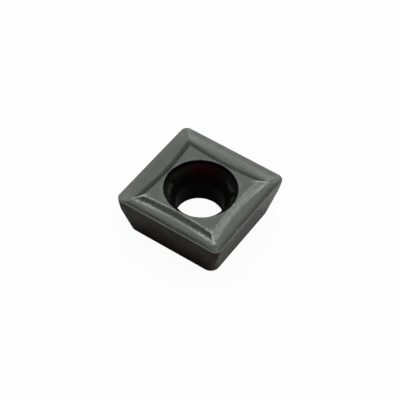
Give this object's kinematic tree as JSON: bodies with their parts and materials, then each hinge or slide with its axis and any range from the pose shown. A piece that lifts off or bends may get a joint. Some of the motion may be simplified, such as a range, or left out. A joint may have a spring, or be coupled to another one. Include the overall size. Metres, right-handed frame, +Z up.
{
  "type": "carbide insert",
  "caption": "Square positive indexable cutting insert with a hollow chipbreaker groove round a raised island, honed edges and a curved countersunk screw hole.",
  "frame": {"origin": "centre of the bottom seat face, on the screw-hole axis", "axes": "+Z up through the screw hole to the rake side; X and Y square to the four flanks"},
  "size_m": [0.0126, 0.0126, 0.0048],
  "materials": {
    "coated_carbide": "satin dark green-grey hard coating, browner on the flanks"
  },
  "bodies": {
    "root": {"insert_body": "coated_carbide"}
  },
  "joints": []
}
